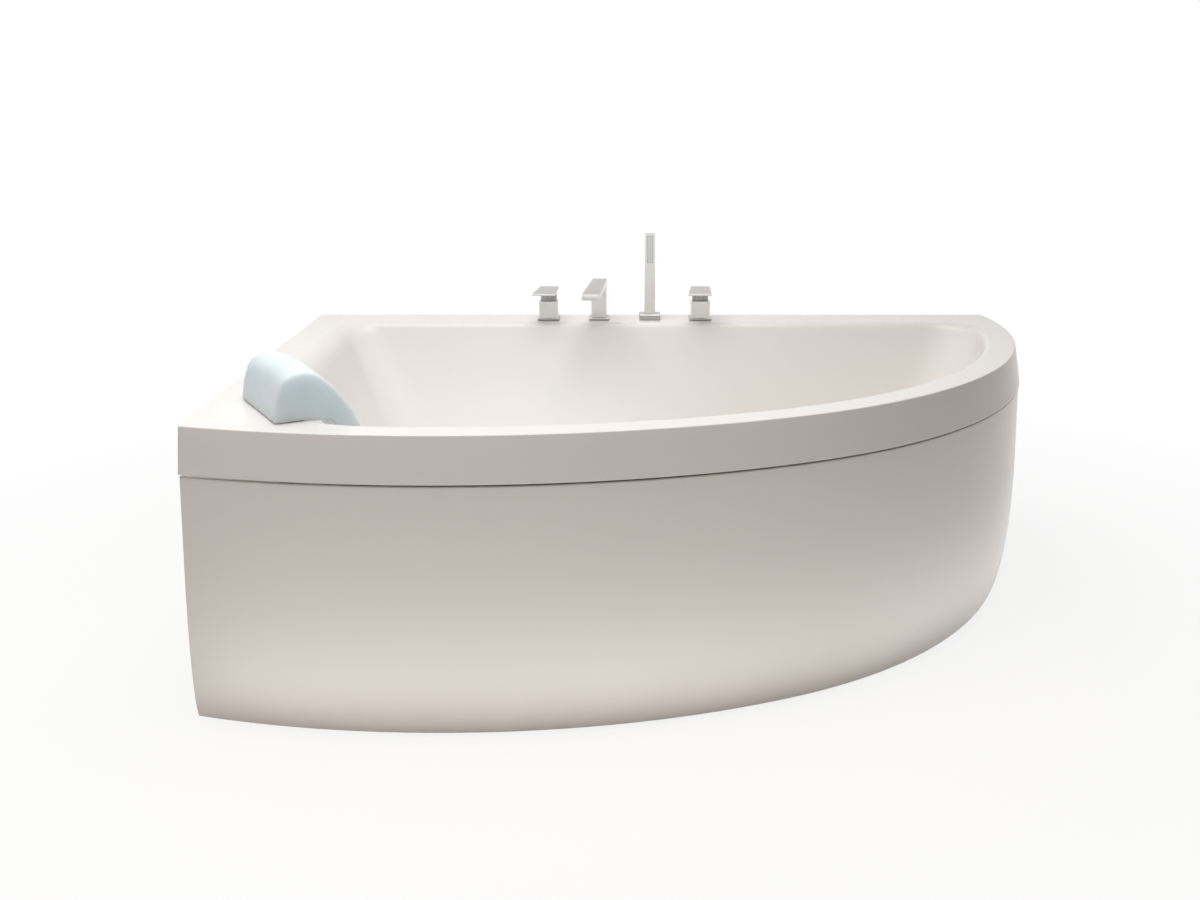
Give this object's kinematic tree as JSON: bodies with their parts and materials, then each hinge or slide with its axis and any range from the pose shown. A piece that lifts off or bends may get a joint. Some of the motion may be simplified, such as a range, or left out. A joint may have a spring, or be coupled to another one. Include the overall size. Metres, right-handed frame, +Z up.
{
  "type": "corner bathtub",
  "caption": "Asymmetric corner bathtub with a curved front panel, deck-mounted taps, hand shower, pop-up waste and gel headrest.",
  "frame": {"origin": "on the floor, at the middle of the overall box", "axes": "+X along the back wall to the right, +Y towards the back wall, +Z up"},
  "size_m": [1.7, 1.2, 0.765],
  "materials": {
    "acrylic": "gloss",
    "panel_acrylic": "gloss",
    "chipboard": "matt",
    "plywood": "matt",
    "frame_steel": "satin",
    "zinc_steel": "satin",
    "spring_steel": "satin",
    "magnet": "satin",
    "black_rubber": "matt",
    "brass": "satin",
    "valve_plastic": "matt",
    "brushed_nickel": "brushed",
    "dark_nickel": "brushed",
    "grey_plastic": "matt",
    "copper": "satin",
    "white_plastic": "satin",
    "chrome": "polished",
    "cable_sheath": "matt",
    "blue_gel": "satin",
    "sucker_rubber": "satin",
    "black_plastic": "matt"
  },
  "bodies": {
    "bath": {"base_board": "chipboard", "deck_gaskets": "black_rubber", "deck_nuts": "brass", "diverter_body": "brushed_nickel", "diverter_cartridge": "valve_plastic", "diverter_escutcheon": "brushed_nickel", "diverter_valve": "brass", "drain_body": "white_plastic", "drain_flange": "chrome", "drain_gasket": "black_rubber", "foot_nuts": "zinc_steel", "frame_cross_rails": "frame_steel", "frame_rail_back": "frame_steel", "frame_rail_front": "frame_steel", "frame_screws": "zinc_steel", "front_panel": "panel_acrylic", "headrest_cushion": "blue_gel", "headrest_suckers": "sucker_rubber", "link_pipe": "copper", "mixer_body": "brushed_nickel", "mixer_cartridge": "valve_plastic", "mixer_escutcheon": "brushed_nickel", "mixer_valve": "brass", "overflow_body": "white_plastic", "overflow_gasket": "black_rubber", "overflow_pipe": "white_plastic", "panel_arms": "frame_steel", "panel_catches": "magnet", "panel_clips": "spring_steel", "pop_up_cable": "cable_sheath", "rim_batten": "plywood", "shower_escutcheon": "brushed_nickel", "shower_guide": "brass", "spout_aerator": "grey_plastic", "spout_body": "brushed_nickel", "spout_escutcheon": "brushed_nickel", "spout_pipe": "copper", "spout_shank": "brass", "tap_ledge_board": "plywood", "trap": "white_plastic", "tub_shell": "acrylic", "wall_brackets": "zinc_steel"},
    "mixer_handle": {"mixer_collar": "dark_nickel", "mixer_lever_pin": "zinc_steel"},
    "mixer_lever_body": {"mixer_lever": "brushed_nickel"},
    "diverter_handle_body": {"diverter_handle": "brushed_nickel"},
    "hand_shower": {"hand_shower_body": "brushed_nickel", "hand_shower_connector": "brass", "hand_shower_face": "grey_plastic"},
    "overflow_control": {"overflow_knob": "chrome"},
    "pop_up_plug": {"drain_plug": "chrome", "plug_seal": "black_rubber"},
    "levelling_foot_1": {"levelling_stud_1": "zinc_steel", "foot_pad_1": "black_plastic"},
    "levelling_foot_2": {"levelling_stud_2": "zinc_steel", "foot_pad_2": "black_plastic"},
    "levelling_foot_3": {"levelling_stud_3": "zinc_steel", "foot_pad_3": "black_plastic"},
    "levelling_foot_4": {"levelling_stud_4": "zinc_steel", "foot_pad_4": "black_plastic"}
  },
  "joints": [
    {"name": "mixer_turn", "type": "hinge", "parent": "bath", "child": "mixer_handle", "pos_m": [-0.268, 0.54, 0.5935], "axis": [0, 0, 1], "range_deg": [-45, 45]},
    {"name": "mixer_lift", "type": "hinge", "parent": "mixer_handle", "child": "mixer_lever_body", "pos_m": [-0.2673, 0.54998, 0.6079], "axis": [-0.9976, 0.0698, 0], "range_deg": [0, 20]},
    {"name": "diverter_turn", "type": "hinge", "parent": "bath", "child": "diverter_handle_body", "pos_m": [0.11, 0.54, 0.5935], "axis": [0, 0, 1], "range_deg": [-90, 0]},
    {"name": "hand_shower_lift", "type": "slide", "parent": "bath", "child": "hand_shower", "axis": [0, 0, 1], "range_m": [0, 0.25]},
    {"name": "overflow_knob_turn", "type": "hinge", "parent": "bath", "child": "overflow_control", "pos_m": [0.62077, 0.01864, 0.42], "axis": [-0.8471, 0.4891, 0.2079], "range_deg": [0, 90]},
    {"name": "drain_plug_lift", "type": "slide", "parent": "bath", "child": "pop_up_plug", "axis": [0, 0, 1], "range_m": [0, 0.012]},
    {"name": "levelling_foot_1_slide", "type": "slide", "parent": "bath", "child": "levelling_foot_1", "axis": [0, 0, -1], "range_m": [0, 0.02]},
    {"name": "levelling_foot_2_slide", "type": "slide", "parent": "bath", "child": "levelling_foot_2", "axis": [0, 0, -1], "range_m": [0, 0.02]},
    {"name": "levelling_foot_3_slide", "type": "slide", "parent": "bath", "child": "levelling_foot_3", "axis": [0, 0, -1], "range_m": [0, 0.02]},
    {"name": "levelling_foot_4_slide", "type": "slide", "parent": "bath", "child": "levelling_foot_4", "axis": [0, 0, -1], "range_m": [0, 0.02]}
  ],
  "couplings": [
    {"joint": "drain_plug_lift", "follows": "overflow_knob_turn", "m_per_rad": 0.007639}
  ]
}
